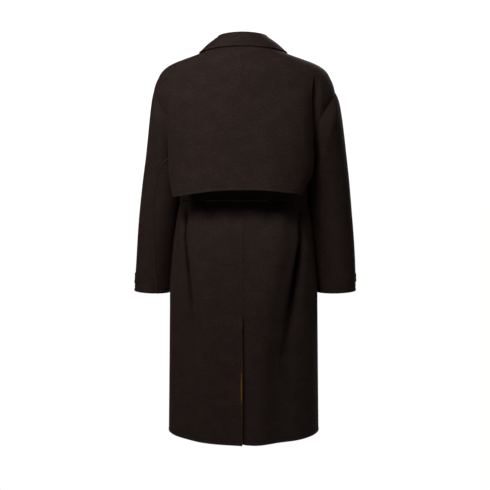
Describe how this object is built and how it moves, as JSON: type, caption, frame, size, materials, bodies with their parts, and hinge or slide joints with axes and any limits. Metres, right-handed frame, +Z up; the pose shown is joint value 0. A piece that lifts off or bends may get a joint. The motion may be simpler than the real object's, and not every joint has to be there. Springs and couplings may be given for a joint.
{
  "type": "reversible trench coat",
  "caption": "Belted midi trench coat of double-faced wool in worn form, hollow, with turned-down collar, loose storm flap over the back, two-piece sleeves, back vent and tied belt.",
  "frame": {"origin": "between the shoulders, level with the points where the shoulder seams meet the neck seam, where the wearer carries the coat", "axes": "+Z up, +Y out of the coat's back, +X to the wearer's left"},
  "size_m": [0.6276, 0.3301, 1.0872],
  "materials": {
    "brown_wool": "matt, lightly felted double-faced wool, dark brown outside and ochre inside"
  },
  "bodies": {
    "root": {"back_left": "brown_wool", "back_right": "brown_wool", "front_left": "brown_wool", "front_right": "brown_wool", "sleeve_upper_left": "brown_wool", "sleeve_upper_right": "brown_wool", "sleeve_under_left": "brown_wool", "sleeve_under_right": "brown_wool", "cuff_strap_left": "brown_wool", "cuff_strap_right": "brown_wool", "storm_flap": "brown_wool", "collar": "brown_wool", "belt": "brown_wool", "belt_tail_left": "brown_wool", "belt_tail_right": "brown_wool", "belt_knot": "brown_wool"}
  },
  "joints": []
}
